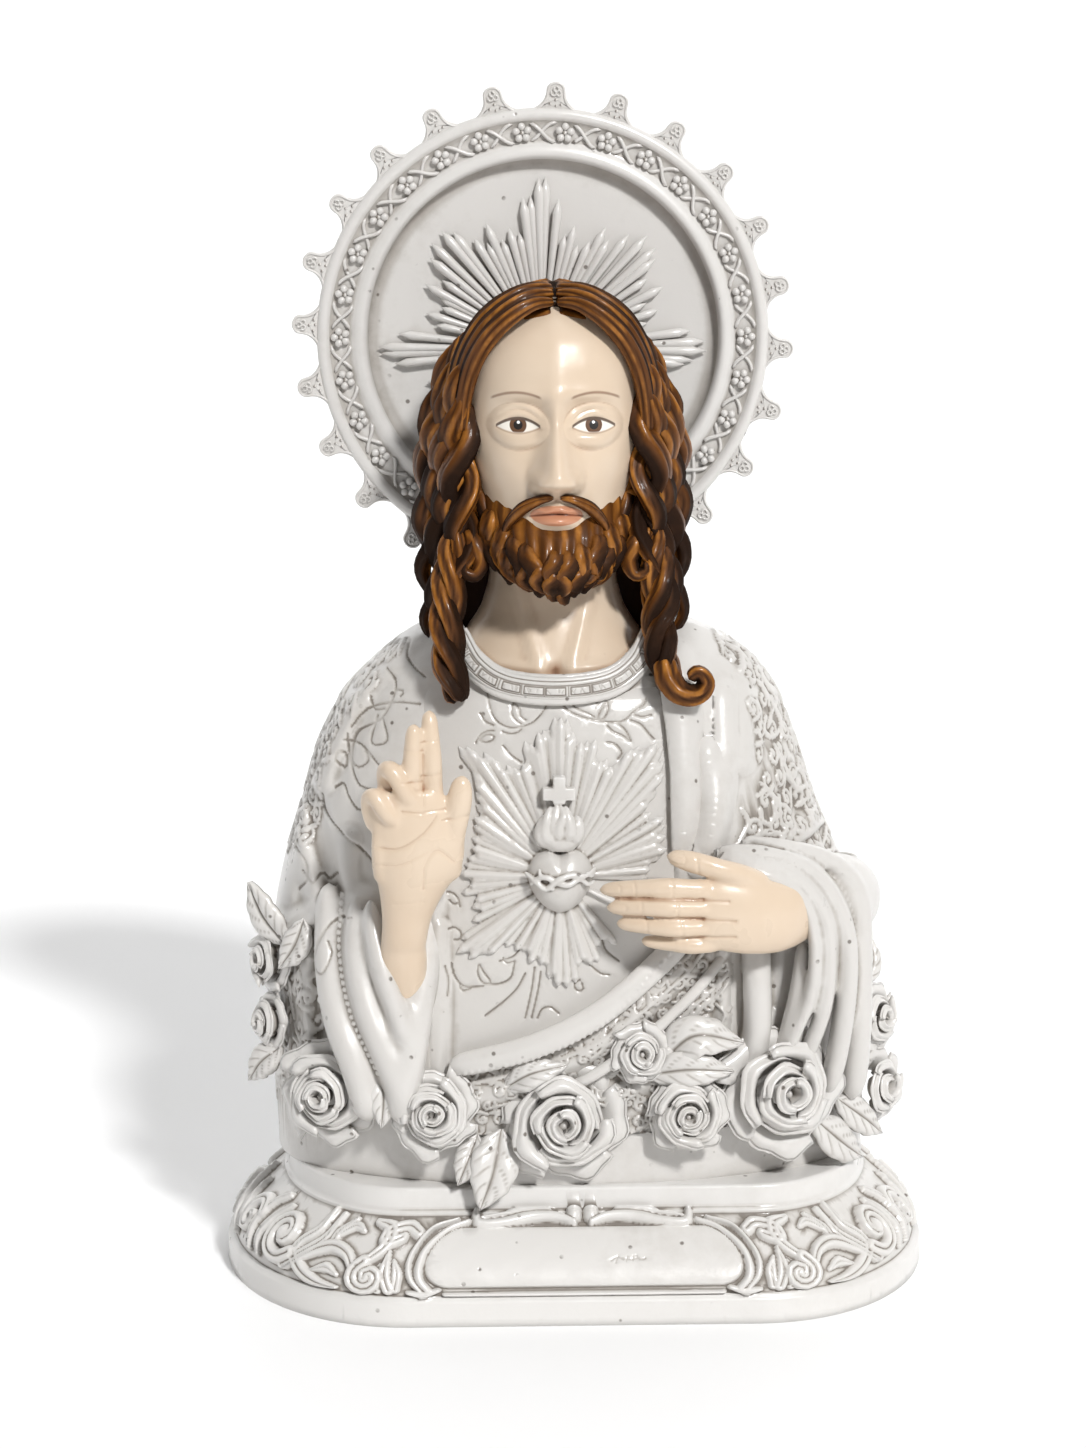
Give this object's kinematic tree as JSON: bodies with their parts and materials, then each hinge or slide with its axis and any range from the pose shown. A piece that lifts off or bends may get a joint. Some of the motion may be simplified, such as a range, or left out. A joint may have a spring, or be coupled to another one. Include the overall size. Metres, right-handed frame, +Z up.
{
  "type": "sacred heart statue",
  "caption": "Half figure of a robed man with raised hand, heart and sunburst on the chest, garland of roses, on an oval plinth with a toothed halo disc behind the head.",
  "frame": {"origin": "middle of the plinth's underside, which rests on the floor", "axes": "+Z up, the figure faces -Y, +X to the right of a viewer who faces it"},
  "size_m": [0.22, 0.15, 0.3665],
  "materials": {
    "white_paint": "white glaze with a grey-brown wash in the hollows",
    "skin_paint": "glossy cream paint",
    "hair_paint": "brown paint with ochre ridges and dark hollows"
  },
  "bodies": {
    "root": {"statue": "white_paint", "halo": "white_paint"}
  },
  "joints": []
}
